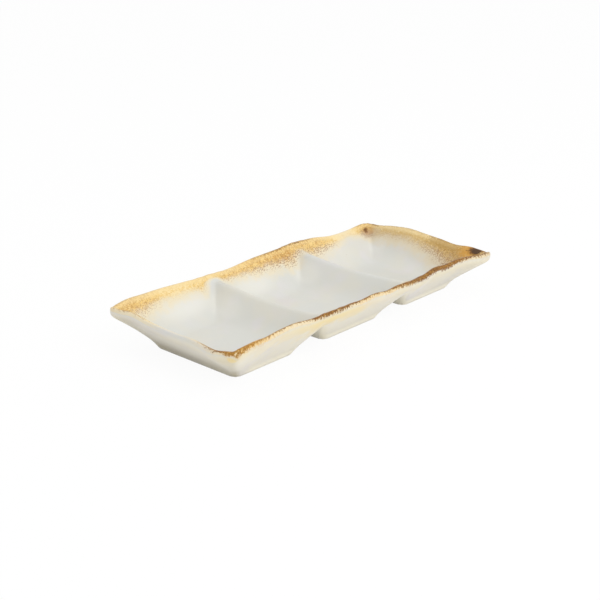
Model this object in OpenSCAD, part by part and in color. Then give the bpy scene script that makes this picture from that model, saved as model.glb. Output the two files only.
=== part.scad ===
// Divided sauce dish in glazed stoneware: one pressed sheet of clay with three wells in a row,
// a flared and gently waving rim, and two dividers that are folds of the same sheet, hollow below.
// The row of wells runs along X. Y runs across it, with the front side at -Y, and Z is up.
// The dish stands on Z = 0, and its bounding box is centred on X = 0 and Y = 0.

/* [Rim] */
// How far the clay rim stands out beyond the feet at the two ends
end_overhang = 21; // [17:0.5:25]
// How far the clay rim stands out beyond the feet at the front and back
side_overhang = 22.4; // [18:0.2:27]
// Radius of the rim's four corners, seen from above
corner_radius = 7; // [4:0.5:12]
// Radius of the rounded lip, measured in plan
lip_radius = 3; // [1.5:0.1:4]
// Height of the hand-made waves along the rim
wave_rise = 3; // [0:0.1:4]
// How far the sides draw in between the flared corners
draw_in = 1; // [0:0.1:2]

/* [Wells] */
// Length over the three feet
foot_length = 217; // [190:0.5:250]
// Width over each foot
foot_width = 72; // [60:0.5:86]
// Distance from the centre of the dish to each divider
divider_offset = 42; // [38:0.5:46]
// Width of the open groove under each divider, between the feet
groove_width = 28.8; // [24:0.2:32]
// Corner rounding of the wells
well_corner = 3; // [2:0.5:8]
// Corner rounding of the feet
foot_corner = 5; // [3.5:0.5:8]
// Height of the wells' floor
floor_height = 5.6; // [4.5:0.1:7]
// Height over which the floor sweeps up into the walls
floor_blend = 8; // [4:0.5:10]

/* [Walls] */
// Rise of the flared walls for each unit outwards
flare = 0.95; // [0.8:0.01:1.1]
// Height at which the outer wall would start at the foot's edge
wall_start = 2.5; // [2:0.1:4]
// Thickness of the flared walls, measured upright
wall_rise = 6.6; // [5.5:0.1:8]
// Height over which a divider's two faces round into its crest
crest_blend = 4; // [2:0.1:6]
// How much higher a divider's crest is beside the walls than at its middle
crest_sag = 1.8; // [0:0.1:4]

/* [Foot] */
// Width of each foot ring
ring_width = 5; // [3:0.1:7]
// Depth of the recess inside each foot ring
recess_depth = 1.2; // [0.6:0.1:1.8]
// Width of the slope from the ring into the recess
recess_slope = 1; // [0.5:0.1:2]
// Rise of the foot's outer face for each unit outwards
foot_steepness = 1.9; // [1.6:0.05:2.6]
// Height over which the foot's face rounds into the wall
foot_blend = 2.5; // [1:0.1:3.5]

/* [Glaze] */
// Thickness of both glazes
glaze_thickness = 0.4; // [0.2:0.05:0.6]
// Depth of the amber glaze inside the front and left rim, seen from above
amber_front_depth = 1.2; // [0:0.1:3]
// Depth of the amber glaze inside the back and right rim, seen from above
amber_back_depth = 11.5; // [0:0.5:16]

/* [Hidden] */
clay_colour = "#c9b08c";
white_colour = "#e6e6dd";
amber_colour = "#c98a3c";

// Heights of the rim's waves, as shares of wave_rise, at even steps from left to right
front_wave_share = [
    1.5, 1.2, 0.9, 1.3, 1.4, 0.9, 0.7, 0.5, 0.7, 0.5, 0.7,
    0.2, 0.4, -0.1, 0.2, 1, 0.7, 0.7, 0.3, -0.6, -1.5
];
back_wave_share = [1.2, 0.1, 0.2, -0.2, -0.6, -0.6, -0.1, 0, 0.1, -0.3, -1.5, -1.7, -1];
// The same for the ends, at even steps from front to back
left_wave_share = [-0.2, -0.6, 0, -0.1, 0.2, 0.7, -1.2];
right_wave_share = [-0.5, -0.3, -0.4, 0.1, 0.4, 0.7, 0.2, -0.6, -1.4];
// How far each side stands out from the square lines, as shares of draw_in
front_reach_share = [
    1.1, -0.4, -0.6, -0.8, -0.8, -0.8, -1, -1, -1, -1, -1,
    -1, -1, -1, -1, -0.8, -0.8, -0.6, -0.6, 0.2, 1.7
];
back_reach_share = [-1.2, -0.2, -0.8, -0.8, -1, -1, -1, -1, -1, -0.8, -0.6, -0.4, -0.7];
left_reach_share = [-0.7, -0.6, -1, -1, -0.8, -0.4, 1.8];
right_reach_share = [0.9, 0.2, -0.8, -1, -1, -1, -0.8, -0.6, 0.3];

// Places of the sheet's lines, as shares of the stretch that each set divides
floor_line_share = [-1, -0.3, 0.25, 1];
end_line_share = [0.28, 0.57, 0.73];
side_line_share = [0.26, 0.52, 0.66];
lip_line_share = [1, 0.5, 0.13, 0];
outer_wall_line_share = [0.4, 0.75];
corner_line_share = 0.3;

half_foot = [foot_length / 2, foot_width / 2];
half_rim = half_foot + [end_overhang, side_overhang];
// Where the well edges lie along X: inner edge beside the divider, outer edge, and end of the dish
edge_middle = divider_offset - groove_width / 2;
edge_near = divider_offset + groove_width / 2;
edge_far = half_foot.x;
wells = [[-edge_far, -edge_near], [-edge_middle, edge_middle], [edge_near, edge_far]];

// Plan distances, outwards from the foot's edge
floor_turn = (floor_height - wall_start - wall_rise) / flare;
floor_run = floor_blend / flare;
crest_run = crest_blend / flare / 2;
foot_turn = wall_start / (foot_steepness - flare);
// Heights below this lie on the ground
ground_tolerance = recess_depth / 1000;
corner_cut = corner_radius * (1 - sqrt(0.5));

function blend_max(a, b, k) = max(a, b) + pow(max(k - abs(a - b), 0), 2) / k / 4;
function blend_min(a, b, k) = -blend_max(-a, -b, k);
function ease(t) = let (s = max(0, min(1, t))) s * s * (3 - 2 * s);
function mix(a, b, t) = a + (b - a) * t;
function reversed(v) = [for (i = [len(v) - 1 : -1 : 0]) v[i]];
function mirrored(v) = concat(-reversed([for (i = [1 : len(v) - 1]) v[i]]), v);
function clamped(v, i) = v[max(0, min(len(v) - 1, i))];

// Smooth curve through evenly spaced shares, for t from 0 to 1
function along(shares, t) =
    let (
        place = max(0, min(1, t)) * (len(shares) - 1),
        i = min(floor(place), len(shares) - 2),
        f = place - i,
        a = clamped(shares, i - 1),
        b = shares[i],
        c = shares[i + 1],
        e = clamped(shares, i + 2)
    )
    b + f * (c - a + f * (2 * a - 5 * b + 4 * c - e + f * (3 * (b - c) + e - a))) / 2;

// How far a place in the flared band is on its way from the foot's edge to the rim
function flared(p, foot, rim) = ease((abs(p) - foot) / (rim - foot));

// Plan position of the sheet's point (p, q), with the corners rounded and the sides drawn in
function plan(p, q) =
    let (
        s = [p / half_rim.x, q / half_rim.y],
        end_reach = along(p < 0 ? left_reach_share : right_reach_share, (s.y + 1) / 2),
        side_reach = along(q < 0 ? front_reach_share : back_reach_share, (s.x + 1) / 2)
    )
    [
        p - s.x * corner_cut * pow(abs(s.y), half_rim.y / corner_cut)
            + sign(p) * draw_in * end_reach * flared(p, half_foot.x, half_rim.x),
        q - s.y * corner_cut * pow(abs(s.x), half_rim.x / corner_cut)
            + sign(q) * draw_in * side_reach * flared(q, half_foot.y, half_rim.y)
    ];

// Rise of the rim's waves at the point (p, q)
function wave(p, q) =
    let (
        across = flared(p, half_foot.x, half_rim.x),
        beside = flared(q, half_foot.y, half_rim.y),
        end_wave = along(p < 0 ? left_wave_share : right_wave_share, (q / half_rim.y + 1) / 2),
        side_wave = along(q < 0 ? front_wave_share : back_wave_share, (p / half_rim.x + 1) / 2)
    )
    wave_rise * (across * (1 - beside / 2) * end_wave + beside * (1 - across / 2) * side_wave);

// Distance outwards from a well's foot, with its corners rounded
function beyond(at, well, corner) =
    blend_max(max(well[0] - at.x, at.x - well[1]), abs(at.y) - half_foot.y, corner);

// Distance outwards from a well's foot, with its corners square
function squarely_beyond(at, well) = max(well[0] - at.x, at.x - well[1], abs(at.y) - half_foot.y);

function inner_face(t) = blend_max(floor_height, wall_start + wall_rise + flare * t, floor_blend);
function outer_face(t) = max(0, blend_min(foot_steepness * t, wall_start + flare * t, foot_blend));
function recess(t) = recess_depth * max(0, min(1, (-ring_width - t) / recess_slope));
function grounded(z) = z < ground_tolerance ? 0 : z;

// A divider's crest is higher beside the walls
function crest_lift(at) =
    let (
        off_crest = abs(abs(at.x) - divider_offset) / (groove_width / 2),
        off_middle = min(1, abs(at.y) / half_foot.y)
    )
    crest_sag * ease(1 - off_crest) * pow(off_middle, 2);

function lowest(heights) =
    blend_min(blend_min(heights[0], heights[1], crest_blend), heights[2], crest_blend);

// Share of the wall's thickness that is left where the lip rounds off
function lip_share(p, q) =
    let (s = max(0, 1 - min(half_rim.x - abs(p), half_rim.y - abs(q)) / lip_radius))
    sqrt(max(0, 1 - s * s));

// Point of the clay's upper face (up true) or lower face, in the dish's first frame
function clay_point(p, q, up) =
    let (
        at = plan(p, q),
        lift = wave(p, q) + crest_lift(at),
        high = lift + lowest([for (w = wells) inner_face(beyond(at, w, well_corner))]),
        outside = lowest([for (w = wells) outer_face(beyond(at, w, foot_corner))]),
        inside = max([for (w = wells) recess(squarely_beyond(at, w))]),
        low = grounded(lift + outside + inside),
        loss = (high - low) / 2 * (1 - lip_share(p, q))
    )
    [at.x, at.y, up ? high - loss : low + loss];

// Lines of the two faces, from the centre outwards, then mirrored
upper_run = [for (s = floor_line_share) floor_turn + s * floor_run];
lower_run = [-ring_width - recess_slope, -ring_width, -corner_line_share * foot_corner, 0, foot_turn];
last_up = upper_run[len(upper_run) - 1];
crest_lines = [for (s = [-1, 0, 1]) divider_offset + s * crest_run];
lip_x = [for (s = lip_line_share) half_rim.x - s * lip_radius];
lip_y = [for (s = lip_line_share) half_rim.y - s * lip_radius];

upper_x = mirrored(concat(
    [0], [for (t = upper_run) edge_middle + t], [(edge_middle + last_up + crest_lines[0]) / 2],
    crest_lines, [(crest_lines[2] + edge_near - last_up) / 2], [for (t = reversed(upper_run)) edge_near - t],
    [(edge_near + edge_far) / 2], [for (t = upper_run) edge_far + t],
    [for (s = end_line_share) mix(edge_far + last_up, lip_x[0], s)], lip_x));
lower_x = mirrored(concat(
    [0], [for (t = lower_run) edge_middle + t], crest_lines,
    [for (t = reversed(lower_run)) edge_near - t],
    [(edge_near + edge_far) / 2], [for (t = lower_run) edge_far + t],
    [for (s = outer_wall_line_share) mix(edge_far + foot_turn, lip_x[0], s)], lip_x));
upper_y = mirrored(concat(
    [0], [for (t = upper_run) half_foot.y + t],
    [for (s = side_line_share) mix(half_foot.y + last_up, lip_y[0], s)], lip_y));
lower_y = mirrored(concat(
    [0], [for (t = lower_run) half_foot.y + t],
    [for (s = outer_wall_line_share) mix(half_foot.y + foot_turn, lip_y[0], s)], lip_y));
nx = len(upper_x) - 1;
ny = len(upper_y) - 1;

// Sheet coordinates at line places i and j. The lower face's lines meet the upper ones at the rim.
function between(v, i) = let (k = min(floor(i), len(v) - 2)) mix(v[k], v[k + 1], i - k);
function line_point(i, j, up) =
    let (
        upper = [between(upper_x, i), between(upper_y, j)],
        lower = [between(lower_x, i), between(lower_y, j)]
    )
    up ? clay_point(upper.x, upper.y, true)
       : clay_point(
            mix(lower.x, upper.x, flared(lower.y, half_foot.y, half_rim.y)),
            mix(lower.y, upper.y, flared(lower.x, half_foot.x, half_rim.x)), false);

function face_points(up) = [for (i = [0 : nx]) [for (j = [0 : ny]) line_point(i, j, up)]];
clay_top = face_points(true);
clay_under = face_points(false);

// Each cell is split along the diagonal that lies closer to the true surface
function splits(face, up) =
    [for (i = [0 : nx - 1]) [for (j = [0 : ny - 1])
        let (
            middle = line_point(i + 1 / 2, j + 1 / 2, up).z,
            rising = (face[i][j].z + face[i + 1][j + 1].z) / 2,
            falling = (face[i + 1][j].z + face[i][j + 1].z) / 2
        )
        abs(rising - middle) < abs(falling - middle)]];
top_split = splits(clay_top, true);
under_split = splits(clay_under, false);

// Outward directions at the points of a face
function grid(face, i, j) = clamped(clamped(face, i), j);
function slope_normal(face, i, j, up) =
    let (
        eastwards = grid(face, i + 1, j) - grid(face, i - 1, j),
        northwards = grid(face, i, j + 1) - grid(face, i, j - 1),
        rising = grid(face, i + 1, j + 1) - grid(face, i - 1, j - 1),
        falling = grid(face, i - 1, j + 1) - grid(face, i + 1, j - 1),
        n = cross(eastwards, northwards) + cross(rising, falling)
    )
    (up ? 1 : -1) * n / norm(n);
function on_rim(i, j) = i == 0 || i == nx || j == 0 || j == ny;
function outward(i, j, up) =
    let (
        own = slope_normal(up ? clay_top : clay_under, i, j, up),
        both = on_rim(i, j) ? own + slope_normal(up ? clay_under : clay_top, i, j, !up) : own,
        free = !up && clay_under[i][j].z == 0 ? [both.x, both.y, 0] : both
    )
    norm(free) == 0 ? both : free / norm(free);
function glazed_points(face, up) =
    [for (i = [0 : nx]) [for (j = [0 : ny]) face[i][j] + glaze_thickness * outward(i, j, up)]];
glaze_top = glazed_points(clay_top, true);
glaze_under = glazed_points(clay_under, false);

// The finished dish is moved so that its bounding box is centred
outline = [for (row = glaze_top) each row];
function mid_extent(k) = (max([for (p = outline) p[k]]) + min([for (p = outline) p[k]])) / 2;
centre = [mid_extent(0), mid_extent(1), 0];

// Numbering of the points: clay top, clay underside, glaze top, glaze underside
per_face = (nx + 1) * (ny + 1);
all_faces = [clay_top, clay_under, glaze_top, glaze_under];
all_points = [for (face = all_faces) each [for (row = face) each row]];
// The underside borrows the top's points along the rim, where the two faces meet
function index(i, j, up, coat) =
    i * (ny + 1) + j + (up || on_rim(i, j) ? 0 : per_face) + (coat ? 2 * per_face : 0);

// The two corner triples of a cell, turning the same way for every cell
function halves(i, j, split) =
    split ? [[[i, j], [i + 1, j], [i + 1, j + 1]], [[i, j], [i + 1, j + 1], [i, j + 1]]]
          : [[[i, j], [i + 1, j], [i, j + 1]], [[i + 1, j], [i + 1, j + 1], [i, j + 1]]];
function cell_halves(i, j, up) = halves(i, j, (up ? top_split : under_split)[i][j]);

// Cells of the upper face that lie in the amber band
function amber_cell(i, j) =
    let (
        x = between(upper_x, i + 1 / 2),
        y = between(upper_y, j + 1 / 2)
    )
    min(half_rim.x + x, half_rim.y + y) < amber_front_depth
        || min(half_rim.x - x, half_rim.y - y) < amber_back_depth;
// Triangles of the underside that stand on the ground
function stands(i, j, h) = max([for (c = cell_halves(i, j, false)[h]) clay_under[c.x][c.y].z]) == 0;
// Which glaze covers a triangle: 0 leaves it bare, 1 is white and 2 is the rim's amber
function cover(i, j, h, up) =
    i < 0 || j < 0 || i >= nx || j >= ny ? cover_across(i, j, h, !up)
    : up && amber_cell(i, j) ? 2
    : !up && stands(i, j, h) ? 0 : 1;
// Past the rim the other face's edge cell follows
function cover_across(i, j, h, up) =
    cover(max(0, min(nx - 1, i)), max(0, min(ny - 1, j)), h, up);

// Half of a cell that holds its south, east, north or west edge
function edge_half(split, side) =
    side == 0 ? 0 : side == 1 ? (split ? 0 : 1) : side == 2 ? 1 : (split ? 1 : 0);
function edge_ends(i, j, side) =
    side == 0 ? [[i, j], [i + 1, j]] : side == 1 ? [[i + 1, j], [i + 1, j + 1]]
    : side == 2 ? [[i + 1, j + 1], [i, j + 1]] : [[i, j + 1], [i, j]];
steps = [[0, -1], [1, 0], [0, 1], [-1, 0]];
function neighbour_cover(i, j, side, up) =
    let (
        k = i + steps[side].x,
        l = j + steps[side].y,
        outside = k < 0 || l < 0 || k >= nx || l >= ny,
        half = outside ? 0 : edge_half((up ? top_split : under_split)[k][l], (side + 2) % 4)
    )
    cover(k, l, half, up);

// Faces of one closed solid. OpenSCAD wants each face's points clockwise seen from outside.
function turned(face, flip) = flip ? reversed(face) : face;
function sheet_faces(up, coat, kind, flip) =
    [for (i = [0 : nx - 1]) for (j = [0 : ny - 1]) for (h = [0, 1])
        if (kind < 0 || cover(i, j, h, up) == kind)
            turned([for (c = cell_halves(i, j, up)[h]) index(c.x, c.y, up, coat)], up != flip)];
// Two coats that meet split the wall between them along the same diagonal
function edge_faces(ends, up) =
    let (
        a = index(ends[0].x, ends[0].y, up, false),
        b = index(ends[1].x, ends[1].y, up, false),
        c = index(ends[1].x, ends[1].y, up, true),
        e = index(ends[0].x, ends[0].y, up, true),
        pair = a < b ? [[a, c, b], [a, e, c]] : [[a, e, b], [e, c, b]]
    )
    [for (face = pair) turned(face, !up)];
function border_faces(up, kind) =
    [for (i = [0 : nx - 1]) for (j = [0 : ny - 1])
        let (split = (up ? top_split : under_split)[i][j])
        each [
            for (side = [0 : 3])
                if (cover(i, j, edge_half(split, side), up) == kind
                        && neighbour_cover(i, j, side, up) != kind)
                    each edge_faces(edge_ends(i, j, side), up),
            for (h = [0, 1])
                if (cover(i, j, h, up) == kind && cover(i, j, 1 - h, up) != kind)
                    each edge_faces(diagonal_ends(i, j, h, split), up)
        ]];
function diagonal_ends(i, j, h, split) =
    split ? (h == 0 ? [[i + 1, j + 1], [i, j]] : [[i, j], [i + 1, j + 1]])
          : (h == 0 ? [[i + 1, j], [i, j + 1]] : [[i, j + 1], [i + 1, j]]);

module shell(faces) {
    translate(-centre) polyhedron(points = all_points, faces = faces, convexity = 6);
}

// The pressed stoneware: wells, dividers, rim and foot rings in one piece
module clay_body() {
    color(clay_colour)
        shell(concat(sheet_faces(true, false, -1, false), sheet_faces(false, false, -1, false)));
}

module glaze_coat(kind) {
    shell(concat(
        sheet_faces(true, true, kind, false), sheet_faces(false, true, kind, false),
        sheet_faces(true, false, kind, true), sheet_faces(false, false, kind, true),
        border_faces(true, kind), border_faces(false, kind)));
}

// White glaze on all but the rim band and the bare foot rings
module white_glaze() {
    color(white_colour) glaze_coat(1);
}

// Amber glaze over the lip, and further down inside the back and the right end
module rim_glaze() {
    color(amber_colour) glaze_coat(2);
}

clay_body();
white_glaze();
rim_glaze();
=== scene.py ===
# Divided sauce dish: glazed stoneware with three wells, on a white studio floor.
import math
import bpy
import numpy as np
from mathutils import Matrix, Vector


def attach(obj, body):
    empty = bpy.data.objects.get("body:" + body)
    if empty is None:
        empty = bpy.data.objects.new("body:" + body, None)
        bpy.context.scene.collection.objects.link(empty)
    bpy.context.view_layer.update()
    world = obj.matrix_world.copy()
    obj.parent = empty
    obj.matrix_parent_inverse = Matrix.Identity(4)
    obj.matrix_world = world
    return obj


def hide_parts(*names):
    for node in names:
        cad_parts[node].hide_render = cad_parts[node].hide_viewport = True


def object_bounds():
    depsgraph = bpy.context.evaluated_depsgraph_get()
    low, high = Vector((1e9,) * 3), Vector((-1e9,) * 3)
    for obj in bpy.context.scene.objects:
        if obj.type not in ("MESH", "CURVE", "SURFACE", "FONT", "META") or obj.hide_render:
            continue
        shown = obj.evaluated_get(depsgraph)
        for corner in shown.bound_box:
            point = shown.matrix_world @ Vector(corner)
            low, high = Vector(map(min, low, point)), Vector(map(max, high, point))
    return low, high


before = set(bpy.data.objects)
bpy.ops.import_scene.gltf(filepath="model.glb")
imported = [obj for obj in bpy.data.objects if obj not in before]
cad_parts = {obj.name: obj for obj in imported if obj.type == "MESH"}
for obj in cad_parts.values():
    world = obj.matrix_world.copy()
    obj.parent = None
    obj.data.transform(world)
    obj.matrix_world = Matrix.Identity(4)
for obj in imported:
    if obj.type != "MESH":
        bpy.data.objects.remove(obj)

CAD_BOX = [list(corner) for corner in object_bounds()]

bl_info = {
    "name": "Divided sauce dish",
    "version": (1, 0, 0),
    "blender": (4, 5, 0),
    "location": "3D View > Sidebar > Sauce dish",
    "description": "Builds a glazed stoneware dish with three wells and a studio stage",
    "category": "Object",
}

MM = 0.001

# Each of these tables has four rows, for the left and right sides from front to back and
# for the front and back sides from left to right, at even steps.
# Heights of the rim's waves, as shares of wave_rise
WAVE_SHARES = (
    (-0.2, -0.6, 0, -0.1, 0.2, 0.7, -1.2),
    (-0.5, -0.3, -0.4, 0.1, 0.4, 0.7, 0.2, -0.6, -1.4),
    (
        1.5, 1.2, 0.9, 1.3, 1.4, 0.9, 0.7, 0.5, 0.7, 0.5, 0.7,
        0.2, 0.4, -0.1, 0.2, 1, 0.7, 0.7, 0.3, -0.6, -1.5,
    ),
    (1.2, 0.1, 0.2, -0.2, -0.6, -0.6, -0.1, 0, 0.1, -0.3, -1.5, -1.7, -1),
)
# How far each side stands out from the square lines, as shares of draw_in
REACH_SHARES = (
    (-0.7, -0.6, -1, -1, -0.8, -0.4, 1.8),
    (0.9, 0.2, -0.8, -1, -1, -1, -0.8, -0.6, 0.3),
    (
        1.1, -0.4, -0.6, -0.8, -0.8, -0.8, -1, -1, -1, -1, -1,
        -1, -1, -1, -1, -0.8, -0.8, -0.6, -0.6, 0.2, 1.7,
    ),
    (-1.2, -0.2, -0.8, -0.8, -1, -1, -1, -1, -1, -0.8, -0.6, -0.4, -0.7),
)
# Depth of the amber band inside the rim, as shares of amber_depth
DEPTH_SHARES = (
    (0.6, 0.4, 0.3, 0.25, 0.25, 0.25, 0.3, 0.3, 0.4, 0.7, 1.0),
    (1.4, 1.5, 1.7, 1.3, 1.0, 0.8, 0.7, 0.7, 0.75, 1.2, 1.2),
    (0.6, 0.6, 0.5, 0.6, 0.7, 0.6, 0.5, 0.6, 0.7, 0.9, 1.3),
    (
        1.0, 1.1, 1.0, 0.75, 0.7, 0.65, 0.65, 0.75, 0.2, 0.6, 0.65, 0.75, 0.85,
        0.85, 1.0, 1.2, 0.95, 1.05, 1.0, 0.85, 0.65, 0.5, 0.6, 0.8, 1.0,
    ),
)
# How the glaze changes along the sides
GLAZE_SHARES = {
    # Warmth of the band, from pale cream to full amber
    "warmth": (
        (0.8, 0.3, 0.15, 0.1, 0.0, 0.0, 0.1, 0.25, 0.4, 0.6, 0.8),
        (1.0, 0.9, 0.8, 0.8, 0.6, 0.4, 0.3, 0.35, 0.3, 0.6, 0.9),
        (0.9, 0.7, 0.6, 0.5, 0.6, 0.5, 0.6, 0.7, 0.7, 0.8, 0.9),
        (
            0.8, 0.85, 0.85, 0.7, 0.4, 0.3, 0.3, 0.6, 0.3, 0.8, 0.75, 0.85, 0.9,
            0.9, 1.0, 1.0, 0.75, 0.8, 0.75, 0.6, 0.3, 0.15, 0.2, 0.6, 0.9,
        ),
    ),
    # Plum freckles where the band ends
    "freckle": (
        (0.5, 0.2, 0.1, 0.0, 0.0, 0.0, 0.0, 0.1, 0.2, 0.5, 0.6),
        (1.0, 1.0, 1.0, 0.95, 0.8, 0.45, 0.3, 0.3, 0.3, 0.4, 0.8),
        (0.8, 0.5, 0.3, 0.5, 0.4, 0.3, 0.5, 0.6, 0.7, 0.9, 1.0),
        (
            0.6, 0.6, 0.6, 0.4, 0.1, 0.1, 0.1, 0.3, 0.1, 0.5, 0.4, 0.5, 0.8,
            0.9, 1.0, 1.0, 1.0, 1.0, 1.0, 0.9, 0.2, 0.0, 0.1, 0.6, 1.0,
        ),
    ),
    # Brown crust along the lip
    "crust": (
        (0.8, 0.75, 0.4, 0.2, 0.0, 0.0, 0.0, 0.2, 0.3, 0.3, 0.2),
        (0.5, 0.5, 0.3, 0.3, 0.3, 0.2, 0.2, 0.2, 0.2, 0.3, 0.5),
        (
            0.8, 0.45, 0.35, 0.4, 0.4, 0.6, 1.0, 0.95, 0.8, 0.5, 0.45,
            0.55, 0.8, 1.0, 1.3, 1.4, 1.4, 1.15, 0.8, 0.6, 0.3,
        ),
        (
            0.2, 0.2, 0.2, 0.15, 0.1, 0.1, 0.0, 0.1, 0.15, 0.1, 0.1, 0.1, 0.2,
            0.3, 0.35, 0.4, 0.4, 0.35, 0.2, 0.1, 0.0, 0.0, 0.0, 0.15, 0.2,
        ),
    ),
    # Gold beside the crust
    "gilt": (
        (0.9, 0.3, 0.15, 0.1, 0.0, 0.0, 0.0, 0.0, 0.05, 0.0, 0.1),
        (0.3, 0.6, 0.5, 0.4, 0.2, 0.1, 0.1, 0.1, 0.1, 0.2, 0.6),
        (
            1.0, 0.9, 0.7, 0.4, 0.3, 0.3, 0.3, 0.2, 0.2, 0.6, 0.6,
            0.6, 0.8, 0.9, 1.0, 0.8, 0.8, 0.9, 0.4, 0.3, 0.2,
        ),
        (
            0.4, 0.3, 0.2, 0.15, 0.1, 0.1, 0.1, 0.2, 0.2, 0.2, 0.2, 0.5, 0.6,
            0.6, 0.7, 0.7, 0.4, 0.6, 0.3, 0.1, 0.0, 0.0, 0.1, 0.5, 0.6,
        ),
    ),
    # Yellow runs on the outer walls
    "run": (
        (0.4, 0.1, 0.0, 0.0, 0.0, 0.05, 0.1),
        (0.3, 0.4, 0.3, 0.4, 0.5, 0.4),
        (
            0.5, 0.3, 0.4, 0.5, 0.5, 0.8, 1.0, 1.0, 0.8, 0.8, 0.3,
            0.25, 0.3, 0.3, 0.35, 0.3, 0.3, 0.3, 0.2, 0.15, 0.2,
        ),
        (0.3, 0.4, 0.5, 0.4, 0.3, 0.6, 0.8, 0.5, 0.5, 0.4, 0.3),
    ),
    # Tan veil over the glaze
    "veil": (
        (0.0, 0.0, 0.0, 0.0, 0.0, 0.0, 0.3),
        (1.0, 1.0, 1.0, 0.9, 0.75, 0.65, 0.65, 0.7, 0.75, 0.8, 0.8),
        (0.0, 0.0, 0.0, 0.0, 0.0, 0.0, 0.0, 0.0, 0.0, 0.1, 0.4),
        (0.4, 0.0, 0.0, 0.0, 0.0, 0.0, 0.0, 0.0, 0.0, 0.0, 0.0, 0.0, 0.0, 0.0, 0.1, 0.9),
    ),
}
# Olive tint on the left wall, partly painted shade, and darkening on the front wall, at even steps
# from front to back and from left to right
LEFT_OLIVE_AND_SHADE_SHARE = (0.9, 0.85, 0.8, 0.85, 0.9, 1.05, 1.15, 1.25, 1.3, 1.3, 1.2)
FRONT_DARKENING_SHARE = (0.1, 0.1, 0.05, 0.0, 0.05, 0.1, 0.15, 0.1, 0.15, 0.25, 0.2)

FIELDS = ("band", "turn", "thin", *GLAZE_SHARES)

# Lines of the mesh that round the lip, all of them under the amber coat
LIP_LINES = 8
# Value of band where the amber coat ends, and on the outside, which has none
AMBER_END = 1.15
NO_BAND = 9.0
# Least depth of the band, as a share of amber_depth
LEAST_DEPTH_SHARE = 0.15
# Distance over which the fields of two sides mix at a corner
CORNER_MIX = 5 * MM
# Waves that make up the bumps on the lip: their number, the turn from one to the next in
# radians, the length of the first and how much longer each next one is
BUMP_WAVES = 7
BUMP_TURN = 2.4
BUMP_LENGTH, BUMP_STEP = 3.1 * MM, 0.7 * MM
# Guards against division by nothing, for normals and for the areas of the walls' faces
LEAST_NORMAL = 1e-6
LEAST_AREA = 1e-12
# Least sideways part of a normal that still carries the glaze outwards
LEAST_SIDEWAYS = 0.2

# Patches in the amber glaze: place and radii in millimetres, colour and strength
DARK_SPOTS = (
    ((125.0, -41.0, 25.0), (10.0, 16.0, 10.0), "orange", 0.85),
    ((125.5, -20.0, 24.5), (7.0, 28.0, 8.0), "ochre", 0.55),
    ((127.0, -45.5, 25.0), (7.0, 9.5, 7.0), "brown", 0.9),
    ((127.0, -46.5, 25.0), (5.0, 7.0, 5.0), "soot", 0.75),
    ((121.5, 45.0, 20.5), (9.0, 12.0, 9.0), "tan", 0.45),
    ((121.0, 50.0, 21.5), (8.0, 8.0, 10.0), "orange", 0.4),
    ((118.5, 49.0, 18.5), (8.0, 9.0, 9.0), "plum", 0.4),
    ((121.3, 52.3, 22.8), (3.2, 3.2, 4.0), "brown", 0.8),
    ((120.3, 51.9, 21.3), (3.0, 3.0, 4.0), "brown", 0.8),
    ((119.2, 50.8, 19.2), (3.0, 3.0, 4.0), "brown", 0.6),
)
# Painted highlights and painted shade in the white of the wells: place and radii in millimetres,
# colour and strength
PAINTED_LIGHT_AND_SHADE = (
    ((-76.0, 44.0, 17.0), (40.0, 17.0, 15.0), "glow", 0.65),
    ((-51.0, 30.0, 11.0), (14.0, 26.0, 17.0), "glow", 0.5),
    ((-12.0, 43.0, 15.0), (32.0, 17.0, 13.0), "glow", 0.6),
    ((32.0, 34.0, 13.0), (14.0, 22.0, 17.0), "glow", 0.55),
    ((75.0, 42.0, 14.0), (30.0, 18.0, 15.0), "glow", 0.2),
    ((113.0, 36.0, 14.0), (12.0, 16.0, 14.0), "glow", 0.35),
    ((80.0, 2.0, 6.0), (36.0, 38.0, 16.0), "painted_shade", 0.25),
)
# The near corner, where the crust is orange
WARM_CORNER = ((-120.0, -55.0, 26.0), (24.0, 16.0, 16.0))
# Yellow drop below the lip at the near corner
YELLOW_DROP = ((-127.5, -52.0, 22.5), (4.5, 4.5, 3.5))

WHITE = (1, 1, 1)
SENSOR_WIDTH = 36
FLOOR_WIDTH = 6.0
FLOOR_GLOW_SHARE = 0.94
# Lamps: name, place and width in metres, share of the key light's power
LAMPS = (
    ("key_lamp", (0.2, -0.85, 0.75), 0.8, 1.0),
    ("fill_lamp", (-0.5, -0.1, 0.9), 0.8, 0.2),
    ("top_lamp", (0.2, 0.2, 1.0), 0.9, 0.12),
)


def length(name, description, millimetres):
    return bpy.props.FloatProperty(
        name=name, description=description, default=millimetres * MM,
        unit="LENGTH", subtype="DISTANCE")


def angle(name, description, degrees):
    return bpy.props.FloatProperty(
        name=name, description=description, default=math.radians(degrees),
        unit="ROTATION", subtype="ANGLE")


def amount(name, description, value, unit="NONE"):
    return bpy.props.FloatProperty(name=name, description=description, default=value, unit=unit)


def colour(name, description, value):
    return bpy.props.FloatVectorProperty(
        name=name, description=description, default=value, size=3, min=0, max=1, subtype="COLOR")


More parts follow.
